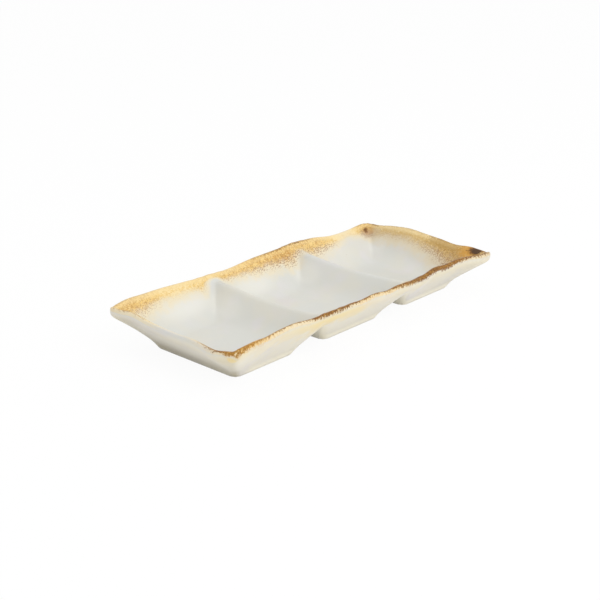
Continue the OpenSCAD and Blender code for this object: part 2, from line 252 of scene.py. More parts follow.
class DishSizes(bpy.types.PropertyGroup):
    end_overhang: length("End overhang", "Reach of the rim beyond the feet at the ends", 21)
    side_overhang: length("Side overhang", "Reach of the rim beyond the feet at the sides", 22.4)
    corner_radius: length("Corner radius", "Radius of the rim's corners, seen from above", 7)
    lip_radius: length("Lip radius", "Radius of the rounded lip, measured in plan", 3)
    wave_rise: length("Wave rise", "Height of the hand-made waves along the rim", 3)
    draw_in: length("Draw in", "How far the sides draw in between the corners", 1)
    foot_length: length("Foot length", "Length over the three feet", 217)
    foot_width: length("Foot width", "Width over each foot", 72)
    divider_offset: length("Divider offset", "Distance from the middle to each divider", 42)
    groove_width: length("Groove width", "Width of the groove under each divider", 28.8)
    well_corner: length("Well corner", "Corner rounding of the wells", 3)
    foot_corner: length("Foot corner", "Corner rounding of the feet", 5)
    pool_reach: length("Pool reach", "Extra rounding of the wells' corners by pooled glaze", 9)
    floor_height: length("Floor height", "Height of the wells' floor", 5.6)
    floor_blend: length("Floor blend", "Height over which the floor sweeps up into the walls", 8)
    flare: amount("Flare", "Rise of the walls for each unit outwards", 0.95)
    wall_start: length("Wall start", "Height of the outer wall at the foot's edge", 2.5)
    wall_rise: length("Wall rise", "Thickness of the walls, measured upright", 6.6)
    crest_blend: length("Crest blend", "Height over which a divider rounds into its crest", 4)
    crest_sag: length("Crest sag", "How much higher a crest is beside the walls", 1.8)
    ring_width: length("Ring width", "Width of each foot ring", 5)
    recess_depth: length("Recess depth", "Depth of the recess inside each foot ring", 1.2)
    recess_slope: length("Recess slope", "Width of the slope into the recess", 1)
    foot_steepness: amount("Foot steepness", "Rise of the foot's face for each unit outwards", 1.9)
    foot_blend: length("Foot blend", "Height over which the foot's face rounds into the wall", 2.5)
    glaze_thickness: length("Glaze thickness", "Thickness of both glazes", 0.4)
    amber_depth: length("Amber depth", "Usual depth of the amber band inside the lip, in plan", 7)
    crust_relief: length("Crust relief", "Height of the bumps along the lip", 0.08)
    line_spacing: length("Line spacing", "Widest distance between two lines of the mesh", 1.3)


class DishColours(bpy.types.PropertyGroup):
    white: colour("White", "Cool white of the glaze inside the wells", (0.66, 0.662, 0.62))
    shell: colour("Shell", "Cream white of the outer walls", (0.79, 0.745, 0.62))
    lilac: colour("Lilac", "Faint lilac clouds in the white", (0.70, 0.67, 0.69))
    cream: colour("Cream", "Warm wash beside the amber", (0.81, 0.71, 0.50))
    yellow: colour("Yellow", "Runs on the outer walls", (0.84, 0.66, 0.28))
    gold: colour("Gold", "Light part of the amber glaze", (0.84, 0.57, 0.18))
    orange: colour("Orange", "Strong part of the amber glaze", (0.62, 0.31, 0.045))
    pale: colour("Pale", "Palest flecks in the amber glaze", (0.90, 0.72, 0.38))
    brown: colour("Brown", "Crust along the lip, and the finest specks", (0.16, 0.058, 0.006))
    plum: colour("Plum", "Freckles where the amber ends", (0.34, 0.18, 0.10))
    soot: colour("Soot", "Darkest patch at the right end", (0.040, 0.020, 0.008))
    ochre: colour("Ochre", "Dull amber of the right end", (0.42, 0.25, 0.065))
    # This colour is a painted highlight: whiter patches on the wells' walls and corners where
    # light falls brighter
    glow: colour("Glow", "Thicker, whiter glaze on the walls of the wells", (0.80, 0.79, 0.725))
    # This colour is painted shade on the floor of the right well
    painted_shade: colour("Grey", "Cooler glaze on the floor at the right", (0.56, 0.58, 0.56))
    # This colour is painted light: it whitens the front wall's foot and the sideways faces beside
    # the middle foot, where shade falls
    bright: colour("Bright", "Thick glaze at the foot of the front wall", (0.94, 0.89, 0.73))
    tan: colour("Tan", "Veil over the white, most at the right end", (0.60, 0.50, 0.35))
    # Olive is partly painted shade on the left wall's low outward faces, and also the colour of
    # the pinholes
    olive: colour("Olive", "Thin glaze on the outer walls, and pinholes", (0.27, 0.215, 0.07))
    clay: colour("Clay", "Bare fired stoneware", (0.50, 0.40, 0.29))
    clay_dark: colour("Clay specks", "Iron specks in the stoneware", (0.24, 0.15, 0.09))


class DishStage(bpy.types.PropertyGroup):
    distance: length("Camera distance", "Distance from the camera to its target", 877)
    pitch: angle("Camera pitch", "How far the camera looks down", 21.07)
    yaw: angle("Camera yaw", "How far the camera is turned from the Y axis", -47.54)
    side_step: length("Target step", "How far the target is moved to the right", -7.52)
    rise_step: length("Target rise", "How far the target is moved up the picture", -1.87)
    target_height: length("Target height", "Height of the target over the floor", 13.2)
    focal: length("Focal length", "Lens for a sensor 36 mm wide", 77.05)
    world_light: amount("Surrounding light", "Strength of the light from all round", 0.80)
    key_light: amount("Key light", "Power of the large soft lamp", 4.5, unit="POWER")
    floor_colour: colour("Floor", "Colour of the floor", (0.93, 0.93, 0.93))


def blend_max(a, b, k):
    """The larger of two values, rounded where they are within k of each other."""
    return np.maximum(a, b) + np.maximum(k - np.abs(a - b), 0) ** 2 / k / 4


def blend_min(a, b, k):
    return -blend_max(-a, -b, k)


def ease(t):
    """Smooth step from 0 to 1."""
    s = np.clip(t, 0, 1)
    return s * s * (3 - 2 * s)


def fade(value, low, high):
    """Smooth step from 0 at one value to 1 at another."""
    return ease((value - low) / (high - low))


def along(shares, t):
    """Smooth curve through evenly spaced shares, for t from 0 to 1."""
    v = np.asarray(shares, float)
    place = np.clip(t, 0, 1) * (len(v) - 1)
    i = np.minimum(np.floor(place).astype(int), len(v) - 2)
    f = place - i
    a, b, c, e = v[np.maximum(i - 1, 0)], v[i], v[i + 1], v[np.minimum(i + 2, len(v) - 1)]
    return b + f * (c - a + f * (2 * a - 5 * b + 4 * c - e + f * (3 * (b - c) + e - a))) / 2


class Sheet:
    """The dish as one sheet of clay between two height fields, over flat coordinates p and q."""

    def __init__(self, sizes):
        self.s = s = sizes
        self.foot = np.array((s.foot_length, s.foot_width)) / 2
        self.rim = self.foot + np.array((s.end_overhang, s.side_overhang))
        middle = s.divider_offset - s.groove_width / 2
        near = s.divider_offset + s.groove_width / 2
        self.wells = ((-self.foot[0], -near), (-middle, middle), (near, self.foot[0]))
        self.corner_cut = s.corner_radius * (1 - math.sqrt(0.5))
        self.p, self.q = np.meshgrid(self.lines(0), self.lines(1), indexing="ij")

    def lines(self, axis):
        """Places of the mesh's lines, some of which follow the feet, the folds and the lip."""
        s = self.s
        lip_turn = np.sin(np.linspace(0, math.pi / 2, LIP_LINES))
        lip = self.rim[axis] - s.lip_radius * (1 - lip_turn)
        inner_ring = s.ring_width + s.recess_slope
        if axis == 0:
            marks = [0, lip[0], s.divider_offset]
            for lower, upper in self.wells[1:]:
                marks += [upper, upper - s.ring_width, upper - inner_ring]
                if lower > 0:
                    marks += [lower, lower + s.ring_width, lower + inner_ring]
        else:
            foot = self.foot[1]
            marks = [0, lip[0], foot, foot - s.ring_width, foot - inner_ring]
        marks = sorted(set(marks))
        half = [0]
        for a, b in zip(marks, marks[1:]):
            count = max(1, math.ceil((b - a) / s.line_spacing))
            half += list(np.linspace(a, b, count + 1)[1:])
        half += list(lip[1:])
        return np.array([-v for v in reversed(half[1:])] + half)

    def flared(self, v, axis):
        """How far points lie from the foot's edge, at 0, towards the rim, at 1."""
        return fade(np.abs(v), self.foot[axis], self.rim[axis])

    def by_side(self, tables):
        """Values of four tables along the left, right, front and back sides."""
        left, right, front, back = tables
        across = (self.p / self.rim[0] + 1) / 2
        deep = (self.q / self.rim[1] + 1) / 2
        return along(left, deep), along(right, deep), along(front, across), along(back, across)

    def plan(self):
        """Places seen from above, with rounded corners and sides that draw in."""
        s = self.s
        sx, sy = self.p / self.rim[0], self.q / self.rim[1]
        left, right, front, back = self.by_side(REACH_SHARES)
        end_reach = np.where(self.p < 0, left, right)
        side_reach = np.where(self.q < 0, front, back)
        x = self.p - sx * self.corner_cut * np.abs(sy) ** (self.rim[1] / self.corner_cut)
        y = self.q - sy * self.corner_cut * np.abs(sx) ** (self.rim[0] / self.corner_cut)
        x += np.sign(self.p) * s.draw_in * end_reach * self.flared(self.p, 0)
        y += np.sign(self.q) * s.draw_in * side_reach * self.flared(self.q, 1)
        return x, y

    def waves(self):
        """Heights of the rim's waves, which die away towards the feet."""
        left, right, front, back = self.by_side(WAVE_SHARES)
        across, beside = self.flared(self.p, 0), self.flared(self.q, 1)
        end_wave = np.where(self.p < 0, left, right)
        side_wave = np.where(self.q < 0, front, back)
        end_part = across * (1 - beside / 2) * end_wave
        side_part = beside * (1 - across / 2) * side_wave
        return self.s.wave_rise * (end_part + side_part)

    def beyond(self, x, y, well, corner):
        """How far points lie outside a well's outline, with rounded corners."""
        return blend_max(np.maximum(well[0] - x, x - well[1]), np.abs(y) - self.foot[1], corner)

    def squarely_beyond(self, x, y, well):
        """The same with square corners."""
        return np.maximum(np.maximum(well[0] - x, x - well[1]), np.abs(y) - self.foot[1])

    def inner_face(self, t):
        """Height of a well's floor and walls, t outside its outline."""
        s = self.s
        return blend_max(s.floor_height, s.wall_start + s.wall_rise + s.flare * t, s.floor_blend)

    def outer_face(self, t):
        """Height of the foot's face and the outer wall, t outside the outline."""
        s = self.s
        foot, wall = s.foot_steepness * t, s.wall_start + s.flare * t
        return np.maximum(0, blend_min(foot, wall, s.foot_blend))

    def recess(self, t):
        """Height of the recess inside a foot ring."""
        s = self.s
        return s.recess_depth * np.clip((-s.ring_width - t) / s.recess_slope, 0, 1)

    def crest_lift(self, x, y):
        """How much a divider rises towards the walls."""
        s = self.s
        off_crest = np.abs(np.abs(x) - s.divider_offset) / (s.groove_width / 2)
        return s.crest_sag * ease(1 - off_crest) * np.minimum(1, np.abs(y) / self.foot[1]) ** 2

    def pooled(self):
        """How much thicker the glaze lies in the wells' corners, where it has run together."""
        s = self.s
        x, y = self.plan()
        bare = self.well_faces(x, y, s.well_corner)
        pooled = self.well_faces(x, y, s.well_corner + s.pool_reach)
        up_wall = np.maximum(self.flared(self.p, 0), self.flared(self.q, 1))
        return (pooled - bare) * (1 - up_wall ** 2)

    def well_faces(self, x, y, corner):
        """Height of the insides of all wells, for one rounding of their corners."""
        return self.lowest([self.inner_face(self.beyond(x, y, w, corner)) for w in self.wells])

    def lowest(self, heights):
        """The lowest of three heights, rounded where they meet."""
        k = self.s.crest_blend
        return blend_min(blend_min(heights[0], heights[1], k), heights[2], k)

    def faces(self):
        """Points of the clay's upper and lower faces."""
        s = self.s
        x, y = self.plan()
        lift = self.waves() + self.crest_lift(x, y)
        feet = [self.outer_face(self.beyond(x, y, w, s.foot_corner)) for w in self.wells]
        recesses = [self.recess(self.squarely_beyond(x, y, w)) for w in self.wells]
        high = lift + self.well_faces(x, y, s.well_corner)
        low = lift + self.lowest(feet) + np.max(recesses, axis=0)
        on_ground = low < s.recess_depth / 1000
        low = np.where(on_ground, 0, low)
        to_edge = np.minimum(self.rim[0] - np.abs(self.p), self.rim[1] - np.abs(self.q))
        turned = np.clip(1 - to_edge / s.lip_radius, 0, 1)
        loss = (high - low) / 2 * (1 - np.sqrt(1 - turned ** 2))
        return np.stack((x, y, high - loss), -1), np.stack((x, y, low + loss), -1)


def grid_normals(points, upwards):
    """Unit normals of a grid of points."""
    n = np.cross(np.gradient(points, axis=0), np.gradient(points, axis=1))
    n /= np.linalg.norm(n, axis=-1, keepdims=True)
    return n if upwards else -n


def on_rim(shape):
    """Mask of the grid's outermost points."""
    edge = np.zeros(shape, bool)
    edge[[0, -1], :] = True
    edge[:, [0, -1]] = True
    return edge


def rim_normals(both):
    """Unit normals of the rim, from the sums of the upper and lower faces' normals."""
    for i, beside in ((0, 1), (-1, -2)):
        for j, before in ((0, 1), (-1, -2)):
            both[i, j] = both[i, before] + both[beside, j]
    return both / np.maximum(np.linalg.norm(both, axis=-1, keepdims=True), LEAST_NORMAL)


def standing_off(down, bare_point):
    """Ways in which the outer glaze stands off the clay, level where the clay is bare."""
    way = down.copy()
    way[bare_point, 2] = 0
    size = np.linalg.norm(way, axis=-1, keepdims=True)
    return np.where(size > LEAST_SIDEWAYS, way / np.maximum(size, LEAST_SIDEWAYS), 0)


class Coats:
    """Clay and glaze layers on one grid, and the fields that colour the glaze."""

    def __init__(self, sizes):
        self.sheet = sheet = Sheet(sizes)
        top, under = sheet.faces()
        self.clay_under = under
        up, self.down = grid_normals(top, True), grid_normals(under, False)
        self.edge = edge = on_rim(top.shape[:2])
        up[edge] = self.down[edge] = rim_normals(up + self.down)[edge]
        self.bare_point = under[..., 2] == 0
        outwards = standing_off(self.down, self.bare_point)
        self.fields = {True: self.glaze_fields(True), False: self.glaze_fields(False)}
        glaze_top = top + sizes.glaze_thickness * up
        centre = (glaze_top.max(axis=(0, 1)) + glaze_top.min(axis=(0, 1))) / 2
        centre[2] = 0
        glaze_top[..., 2] += sheet.pooled()
        glaze_top += self.crust_bumps(top, True) * up
        glaze_under = under + sizes.glaze_thickness * outwards
        glaze_under[..., 2] = np.maximum(glaze_under[..., 2], 0)
        glaze_under += self.crust_bumps(under, False) * outwards
        glaze_under[edge] = glaze_top[edge]
        layers = {
            ("clay", True): top, ("clay", False): under,
            ("glaze", True): glaze_top, ("glaze", False): glaze_under,
        }
        self.layers = {key: np.clip(points - centre, *CAD_BOX) for key, points in layers.items()}
        self.normals = {True: up, False: self.down}

    def outer_light_and_olive(self, upper, turn):
        """Olive tint and painted light on the outer walls: above 0 for the olive tint, below 0 for
        painted light.

        On the left wall's outward faces the olive tint is partly glaze colour and partly painted
        shade, most of all low down. The front wall's faces darken along it, painted light whitens
        them at its foot, and painted light whitens the faces beside the middle foot.
        """
        if upper:
            return np.zeros(self.edge.shape)
        sheet = self.sheet
        height = self.clay_under[..., 2] / MM
        outwards = sheet.p / sheet.foot[0]
        facing = 1.8 * self.down
        below_lip = fade(turn, 1, 2.1)
        at_left_end = fade(-outwards, 0.85, 1)
        left_shares = along(LEFT_OLIVE_AND_SHADE_SHARE, (sheet.q / sheet.rim[1] + 1) / 2)
        # Left wall: olive tint, partly glaze colour and partly painted shade, strongest low down
        left = (0.8 - 0.35 * fade(height, 0, 21)) * below_lip * left_shares
        # Front wall: darker along it, most of all towards its right end, with painted light at its
        # foot
        front_darkening = below_lip * along(FRONT_DARKENING_SHARE, (sheet.p / sheet.rim[0] + 1) / 2)
        gathered = fade(height, 6.5, 2.5)
        front = front_darkening * (1 - gathered) - gathered
        # Painted light on the sideways faces beside the middle foot
        painted_light_beside_foot = -0.9 * fade(np.abs(outwards), 0.85, 0.75)
        return (
            left * at_left_end * ease(-facing[..., 0])
            + front * (1 - at_left_end) * ease(-facing[..., 1])
            + painted_light_beside_foot * ease(np.abs(facing[..., 0]))
        )

    def crust_bumps(self, points, upper):
        """Small bumps of the glaze on the lip, a sum of waves in many directions."""
        fields, sizes = self.fields[upper], self.sheet.s
        bumps = np.zeros(self.edge.shape)
        for k in range(BUMP_WAVES):
            turn, wave = BUMP_TURN * k, BUMP_LENGTH + BUMP_STEP * k
            way = points @ np.array((math.cos(turn), math.sin(turn), 0.8))
            bumps += np.sin(2 * math.pi * way / wave + 1.7 * k) / 4
        on_lip = np.maximum(1 - np.abs(fields["turn"] - 0.5) / 1.4, 0)
        return (sizes.crust_relief * (0.3 + fields["crust"]) * on_lip * bumps)[..., None]

    def side_distances(self):
        """Distances from the left, right, front and back sides, in plan."""
        (rim_x, rim_y), p, q = self.sheet.rim, self.sheet.p, self.sheet.q
        return rim_x + p, rim_x - p, rim_y + q, rim_y - q

    def by_nearest_side(self, tables):
        """One value for each point from four tables, mixed where two sides are near."""
        values = self.sheet.by_side(tables)
        weights = [np.exp(-d / CORNER_MIX) for d in self.side_distances()]
        return sum(v * w for v, w in zip(values, weights)) / sum(weights)

    def glaze_fields(self, upper):
        """Fields for the glaze's material.

        turn is less than 0 inside, where it counts lip radii in from the lip, goes from 0
        to 2 around the lip's half circle, and on from 2 down the outside. band grows from
        0 at the lip to 1 where the amber ends.
        """
        sizes, distances = self.sheet.s, self.side_distances()
        band = np.full(self.edge.shape, NO_BAND)
        if upper:
            for distance, share in zip(distances, self.sheet.by_side(DEPTH_SHARES)):
                depth = sizes.amber_depth * np.maximum(share, LEAST_DEPTH_SHARE)
                band = blend_min(band, (distance - sizes.lip_radius) / depth, 0.5)
        nearest = distances[0]
        for distance in distances[1:]:
            nearest = blend_min(nearest, distance, sizes.lip_radius)
        inward = np.maximum(nearest, 0) / sizes.lip_radius - 1
        turn = np.where(inward < 0, np.arcsin(np.clip(-inward, 0, 1)) * 2 / math.pi, -inward)
        turn = turn if upper else 2 - turn
        fields = {"band": band, "turn": turn, "thin": self.outer_light_and_olive(upper, turn)}
        for name, tables in GLAZE_SHARES.items():
            fields[name] = self.by_nearest_side(tables)
        return fields


def build_piece(name, coats, parts, walls=()):
    """Make one mesh object from cells of the layers.

    parts holds (layer, upper, cells, outward), where cells is a mask, and walls holds
    (upper, edges), where edges is a list of grid point pairs between clay and glaze.
    """
    shape = coats.edge.shape
    count = shape[0] * shape[1]
    keys = [("clay", True), ("clay", False), ("glaze", True), ("glaze", False)]

    def number(i, j, layer, upper):
        """Number of a grid point in a layer. Upper and lower layers share the rim's points."""
        level = keys.index((layer, upper))
        shared = coats.edge[i, j] & (not upper)
        return i * shape[1] + j + count * np.where(shared, level - 1, level)

    faces, normals = [], []
    for layer, upper, cells, outward in parts:
        i, j = np.nonzero(cells)
        ring = [(i, j), (i + 1, j), (i + 1, j + 1), (i, j + 1)]
        if upper != outward:
            ring.reverse()
        faces.append(np.stack([number(a, b, layer, upper) for a, b in ring], 1))
        sign = 1 if outward else -1
        normals.append(np.stack([sign * coats.normals[upper][a, b] for a, b in ring], 1))
    wall_faces = []
    for upper, edges in walls:
        for pair in edges:
            (a, b), (c, d) = pair if upper else reversed(pair)
            wall_faces.append((
                number(a, b, "clay", upper), number(c, d, "clay", upper),
                number(c, d, "glaze", upper), number(a, b, "glaze", upper)))
    faces = np.concatenate(faces)
    normals = np.concatenate(normals)
    points = np.concatenate([coats.layers[key].reshape(-1, 3) for key in keys])
    if wall_faces:
        wall_faces = np.array(wall_faces, int)
        wall = points[wall_faces]
        flat = np.cross(wall[:, 1] - wall[:, 0], wall[:, 2] - wall[:, 1])
        flat /= np.maximum(np.linalg.norm(flat, axis=1, keepdims=True), LEAST_AREA)
        faces = np.concatenate((faces, wall_faces))
        normals = np.concatenate((normals, np.repeat(flat[:, None], 4, axis=1)))
    used, faces = np.unique(faces, return_inverse=True)
    faces = faces.reshape(-1, 4)
    mesh = bpy.data.meshes.new(name)
    mesh.from_pydata(points[used].tolist(), [], faces.tolist())
    for field in FIELDS:
        values = np.concatenate([coats.fields[upper][field].ravel() for _, upper in keys])
        attribute = mesh.attributes.new(field, "FLOAT", "POINT")
        attribute.data.foreach_set("value", values[used].astype(np.float32))
    mesh.shade_smooth()
    mesh.normals_split_custom_set(normals.reshape(-1, 3).tolist())
    mesh.validate()
    piece = bpy.data.objects.new(name, mesh)
    bpy.context.scene.collection.objects.link(piece)
    return piece


def border(cells):
    """Grid point pairs along the border of a mask of cells, turning round it."""
    padded = np.pad(cells, 1)
    pairs = []
    inner = padded[1:-1, 1:-1]
    steps = (
        (padded[1:-1, :-2], (0, 0), (1, 0)), (padded[2:, 1:-1], (1, 0), (1, 1)),
        (padded[1:-1, 2:], (1, 1), (0, 1)), (padded[:-2, 1:-1], (0, 1), (0, 0)),
    )
    for neighbour, a, b in steps:
        for i, j in np.argwhere(inner & ~neighbour):
            pairs.append(((i + a[0], j + a[1]), (i + b[0], j + b[1])))
    return pairs


def amber_cells(coats):
    """Cells of the upper face that belong to the amber coat."""
    band = coats.fields[True]["band"]
    middle = (band[1:, 1:] + band[:-1, 1:] + band[1:, :-1] + band[:-1, :-1]) / 4
    cells = middle < AMBER_END
    cells[:LIP_LINES] = cells[-LIP_LINES:] = True
    cells[:, :LIP_LINES] = cells[:, -LIP_LINES:] = True
    return cells


def bare_cells(coats):
    """Cells of the underside that stand on the ground."""
    bare = coats.bare_point
    return bare[1:, 1:] & bare[:-1, 1:] & bare[1:, :-1] & bare[:-1, :-1]


class Nodes:
    """Short hand for building the nodes of a material or a world."""

    def __init__(self, owner):
        self.owner = owner
        owner.use_nodes = True
        self.tree = owner.node_tree
        self.tree.nodes.clear()

    def put(self, socket, value):
        """Link a socket to another one, or set its own value."""
        if isinstance(value, bpy.types.NodeSocket):
            self.tree.links.new(value, socket)
        elif socket.type == "RGBA" and len(value) == 3:
            socket.default_value = (*value, 1)
        else:
            socket.default_value = value

    def node(self, kind, settings=None, **inputs):
        """A node with its settings, and its inputs by name."""
        node = self.tree.nodes.new("ShaderNode" + kind)
        for key, value in (settings or {}).items():
            setattr(node, key, value)
        for key, value in inputs.items():
            self.put(node.inputs[key.replace("_", " ")], value)
        return node

    def filled(self, kind, settings, *values):
        """A node whose inputs get these values in order."""
        node = self.node(kind, settings)
        for socket, value in zip(node.inputs, values):
            self.put(socket, value)
        return node

    def finish(self, shader, output="OutputMaterial"):
        self.node(output, Surface=shader.outputs[0])
        return self.owner

    def math(self, operation, *values, clamp=False):
        settings = {"operation": operation, "use_clamp": clamp}
        return self.filled("Math", settings, *values).outputs[0]

    def plus(self, *terms):
        """Sum of the terms, from left to right."""
        total = terms[0]
        for term in terms[1:]:
            total = self.math("ADD", total, term)
        return total

    def times(self, *factors, clamp=False):
        """Product of the factors, from left to right, held between 0 and 1 if clamp is set."""
        product = factors[0]
        for factor in factors[1:-1]:
            product = self.math("MULTIPLY", product, factor)
        return self.math("MULTIPLY", product, factors[-1], clamp=clamp)

    def vector(self, operation, *values):
        return self.filled("VectorMath", {"operation": operation}, *values).outputs

    def mix(self, factor, a, b):
        """Colour a where the factor is 0, and b where it is 1."""
        node = self.node("Mix", {"data_type": "RGBA"}, Factor=factor)
        colour_a, colour_b = node.inputs[6], node.inputs[7]
        self.put(colour_a, a)
        self.put(colour_b, b)
        return node.outputs[2]

    def step(self, value, low, high, to_low=0.0, to_high=1.0):
        """Smooth step of a value between two levels."""
        settings = {"interpolation_type": "SMOOTHSTEP"}
        return self.filled("MapRange", settings, value, low, high, to_low, to_high).outputs[0]

    def attribute(self, name):
        return self.node("Attribute", {"attribute_name": name}).outputs["Fac"]

    def millimetres(self):
        place = self.node("TexCoord").outputs["Object"]
        scaled = self.node("VectorMath", {"operation": "SCALE"}, Vector=place, Scale=1 / MM)
        return scaled.outputs[0]

    def near(self, place, spot, radii):
        """One at a spot, falling to nothing at its radii, in millimetres."""
        off = self.vector("SUBTRACT", place, spot)["Vector"]
        off = self.vector("DIVIDE", off, radii)["Vector"]
        return self.step(self.vector("LENGTH", off)["Value"], 0, 1, 1, 0)

    def noise(self, vector, feature, detail=2.0, roughness=0.5, offset=0.0):
        """Noise whose patches are about as wide as feature, in millimetres."""
        noise = self.node(
            "TexNoise", {"noise_dimensions": "4D"}, Vector=vector, W=offset,
            Scale=1 / feature, Detail=detail, Roughness=roughness)
        return noise.outputs["Fac"]

    def cells(self, vector, feature, kind):
        cells = self.node("TexVoronoi", {"feature": kind}, Vector=vector, Scale=1 / feature)
        return cells.outputs["Distance"]

    def cell_veins(self, vector, feature, width):
        """Thin lines between cells about as wide as feature, in millimetres."""
        return self.step(self.cells(vector, feature, "DISTANCE_TO_EDGE"), 0, width, 1, 0)

    def dots(self, vector, feature, radius):
        """Round dots, one in each cell about as wide as feature, in millimetres."""
        return self.step(self.cells(vector, feature, "F1"), radius, radius * 1.5, 1, 0)


class GlazePattern:
    """Nodes of the glaze, worked out layer by layer from the fields of the mesh."""

    def __init__(self, nodes, colours):
        self.n = n = nodes
        self.colours = colours
        self.place = n.millimetres()
        for field in FIELDS:
            setattr(self, field, n.attribute(field))
        self.fine = n.noise(self.place, feature=0.7, detail=3, roughness=0.65)
        self.grain = n.noise(self.place, feature=1.4, roughness=0.6, offset=3)
        self.patch = n.noise(self.place, feature=5, offset=7)
        self.outside = n.step(self.turn, 0.8, 1.5)

    def swing(self, noise, amount):
        """A noise value moved to swing around nothing."""
        return self.n.times(self.n.math("SUBTRACT", noise, 0.5), amount)

    def white(self):
        """White with faint clouds inside, painted highlights and painted shade in the wells, and
        cream on the outer walls.
        """
        n, c = self.n, self.colours
        warm = n.noise(self.place, feature=24, offset=11)
        cool = n.noise(self.place, feature=17, offset=19)
        tint = n.mix(n.step(warm, 0.42, 0.7, 0, 0.18), c.white, c.cream)
        tint = n.mix(n.step(cool, 0.48, 0.72, 0, 0.45), tint, c.lilac)
        shell = n.mix(n.step(cool, 0.45, 0.7, 0, 0.55), c.shell, c.lilac)
        tint = n.mix(self.outside, tint, shell)
        in_wells = n.step(self.turn, 0, 0.6, 1, 0)
        # Painted highlights on the wells' walls and corners, and painted shade on the right well's
        # floor
        for spot, radii, name, strength in PAINTED_LIGHT_AND_SHADE:
            close = n.near(self.place, spot, radii)
            soft = n.times(close, n.math("SUBTRACT", 2, close))
            tint = n.mix(n.times(soft, soft, strength, in_wells), tint, getattr(c, name))
        return tint

    def washed(self, tint):
        """Cream and tan washes towards the band, pinholes, and on the outer walls painted light
        and an olive tint that is partly painted shade.
        """
        n, c = self.n, self.colours
        swung = n.plus(self.band, self.swing(self.patch, 1.6))
        wash = n.times(n.step(swung, 1.0, 2.6, 0.9, 0), n.step(self.warmth, 0, 0.3))
        tint = n.mix(wash, tint, c.cream)
        tint = n.mix(n.times(n.step(swung, 0.4, 3.4, 0.95, 0), self.veil), tint, c.tan)
        pinholes = n.dots(self.place, feature=14, radius=0.02)
        tint = n.mix(n.times(pinholes, 0.35), tint, c.olive)
        # Painted light on the outer walls where the field falls below 0
        tint = n.mix(n.step(self.thin, -1, 0, 0.85, 0), tint, c.bright)
        # Olive tint where the field is above 0, partly painted shade
        return n.mix(n.times(self.thin, 0.8), tint, c.olive)

    def runs(self, tint):
        """Yellow runs under the lip, and the drop at the near corner."""
        n, yellow = self.n, self.colours.yellow
        drip = n.noise(self.place, feature=7, offset=5)
        depth = n.math("SUBTRACT", self.turn, n.times(drip, 7))
        fall = n.times(n.step(depth, -2.2, 1.2, 1, 0), self.outside)
        tint = n.mix(n.times(fall, self.run, 0.8, clamp=True), tint, yellow)
        drop = n.near(self.place, *YELLOW_DROP)
        return n.mix(n.step(drop, 0, 0.5, 0, 0.7), tint, yellow)

    def amber_hue(self):
        """Cream to orange glaze with a mottle, flecks, specks and fine veins."""
        n, c = self.n, self.colours
        rich = n.plus(self.warmth, self.swing(self.grain, 1.4), self.swing(self.patch, 1.2))
        hue = n.mix(n.step(rich, 0.05, 0.55), c.pale, c.gold)
        hue = n.mix(n.step(rich, 0.65, 1.15), hue, c.orange)
        hue = n.mix(n.times(self.veil, 0.75, clamp=True), hue, c.ochre)
        mottle = n.noise(self.place, feature=2, detail=3, roughness=0.7, offset=13)
        hue = n.mix(n.step(mottle, 0.47, 0.3, 0, 0.6), hue, c.pale)
        deep = n.times(n.step(mottle, 0.53, 0.7, 0, 0.8), self.warmth, clamp=True)
        hue = n.mix(deep, hue, c.orange)
        flecks = n.dots(self.place, feature=1.3, radius=0.25)
        flecks = n.times(flecks, n.step(self.fine, 0.45, 0.6, 0, 0.7))
        hue = n.mix(flecks, hue, c.pale)
        specks = n.dots(self.place, feature=1.1, radius=0.3)
        specks = n.times(specks, n.step(mottle, 0.46, 0.6, 0, 0.6), self.freckle, clamp=True)
        hue = n.mix(specks, hue, c.brown)
        veins = n.cell_veins(self.place, feature=1.5, width=0.14)
        veins = n.times(veins, n.step(self.grain, 0.42, 0.6, 0, 0.45), self.warmth)
        hue = n.mix(veins, hue, c.brown)
        return n.mix(n.step(self.turn, -0.7, 0.1, 0, 0.65), hue, c.pale)

    def amber(self, tint):
        """The band itself, breaking up into freckles at its lower edge."""
        n = self.n
        ragged = n.plus(self.swing(self.fine, 1.3), self.swing(self.patch, 0.9))
        level = n.plus(self.band, ragged)
        strong = n.step(self.warmth, -0.15, 0.35, 0.2, 0.92)
        inside = n.step(self.turn, 0.2, 0.8, 1, 0)
        self.cover = n.times(n.step(level, 0.4, 1.3, 1, 0), strong, inside)
        tint = n.mix(self.cover, tint, self.amber_hue())
        zone = n.times(n.step(self.band, 0.3, 0.8), n.step(level, 1.05, 1.7, 1, 0))
        freckles = n.dots(self.place, feature=1, radius=0.33)
        freckles = n.times(zone, freckles, self.freckle, 0.85, clamp=True)
        return n.mix(freckles, tint, self.colours.plum)

